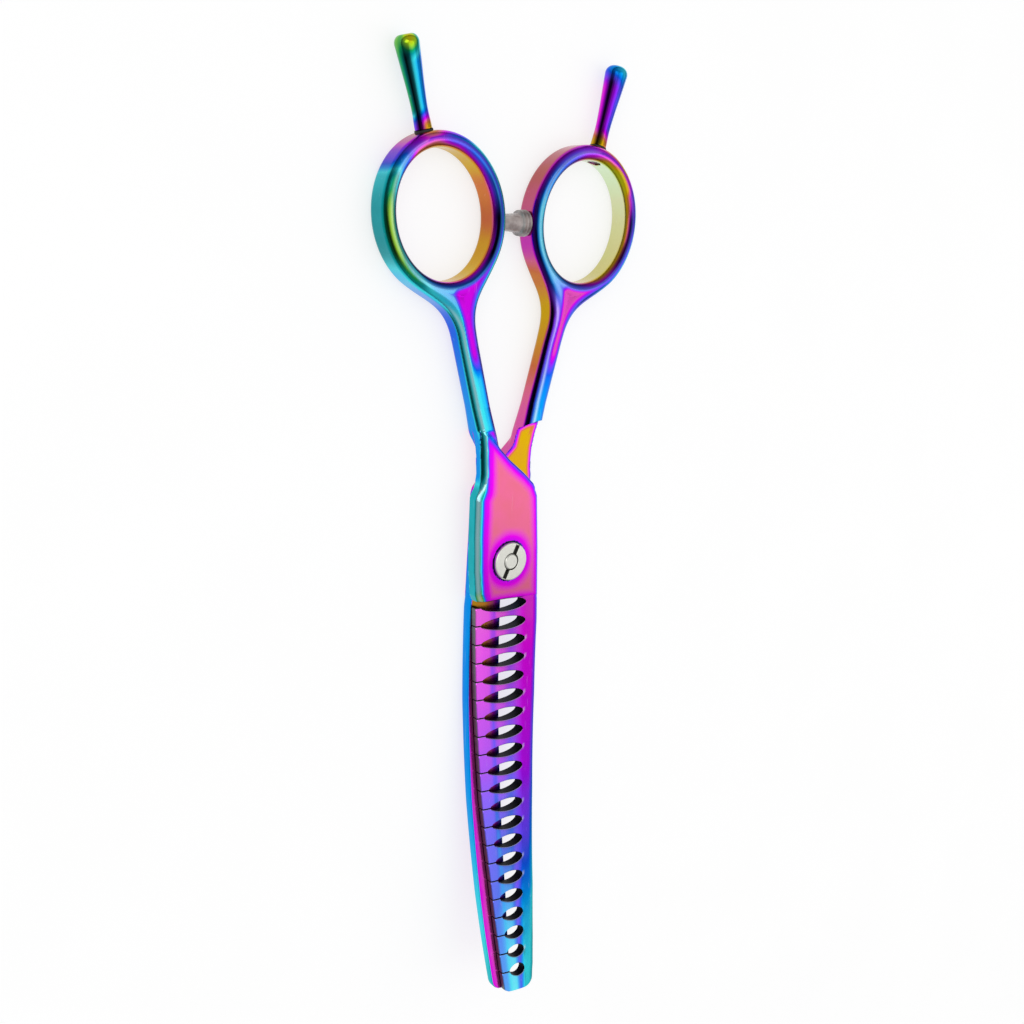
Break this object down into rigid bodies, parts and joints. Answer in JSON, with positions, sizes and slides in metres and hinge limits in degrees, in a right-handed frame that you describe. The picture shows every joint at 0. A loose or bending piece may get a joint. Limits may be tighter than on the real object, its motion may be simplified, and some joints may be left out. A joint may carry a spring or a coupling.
{
  "type": "thinning shears",
  "caption": "Curved hairdressing thinning shears with a toothed blade over a plain blade, offset finger rings, screw-in finger rests, a ring bumper and an adjustable pivot.",
  "frame": {"origin": "on the pivot axis, at the plane where the two halves meet", "axes": "+Y towards the finger rings, +X towards the plain half's ring, +Z along the pivot towards the tension nut"},
  "size_m": [0.062, 0.1939, 0.0157],
  "materials": {
    "toothed_coating": "polished steel with a rainbow titanium coat",
    "plain_coating": "polished steel with a rainbow titanium coat",
    "pivot_steel": "bright turned steel",
    "bushing_brass": "turned brass",
    "bearing_nylon": "white nylon",
    "seat_nylon": "white nylon",
    "spring_steel": "hardened spring steel",
    "nut_steel": "bright turned steel",
    "left_rest_coating": "polished steel with a rainbow titanium coat",
    "left_washer_rubber": "black rubber",
    "right_rest_coating": "polished steel with a rainbow titanium coat",
    "right_washer_rubber": "black rubber",
    "bumper_silicone": "translucent silicone",
    "stud_brass": "turned brass"
  },
  "bodies": {
    "plain": {"plain_half": "plain_coating", "pivot_bolt": "pivot_steel", "blade_bearing_washer": "bearing_nylon", "right_rest_washer": "right_washer_rubber", "bumper": "bumper_silicone", "bumper_stud": "stud_brass"},
    "toothed": {"toothed_half": "toothed_coating", "pivot_bushing": "bushing_brass", "nut_seat_washer": "seat_nylon", "left_rest_washer": "left_washer_rubber"},
    "tension_adjuster": {"tension_nut": "nut_steel", "tension_spring_washer": "spring_steel"},
    "left_rest": {"left_finger_rest": "left_rest_coating"},
    "right_rest": {"right_finger_rest": "right_rest_coating"}
  },
  "joints": [
    {"name": "blade_pivot", "type": "hinge", "parent": "plain", "child": "toothed", "pos_m": [0, 0, 0], "axis": [0, 0, 1], "range_deg": [0, 140]},
    {"name": "tension_nut_turn", "type": "hinge", "parent": "plain", "child": "tension_adjuster", "pos_m": [0, 0, 0.003], "axis": [0, 0, 1], "range_deg": [-90, 90]},
    {"name": "left_rest_unscrew", "type": "hinge", "parent": "toothed", "child": "left_rest", "pos_m": [-0.02111, 0.08268, 0], "axis": [-0.2639, 0.9646, 0], "range_deg": [0, 720]},
    {"name": "right_rest_unscrew", "type": "hinge", "parent": "plain", "child": "right_rest", "pos_m": [0.02111, 0.08268, 0], "axis": [0.2639, 0.9646, 0], "range_deg": [0, 720]}
  ]
}
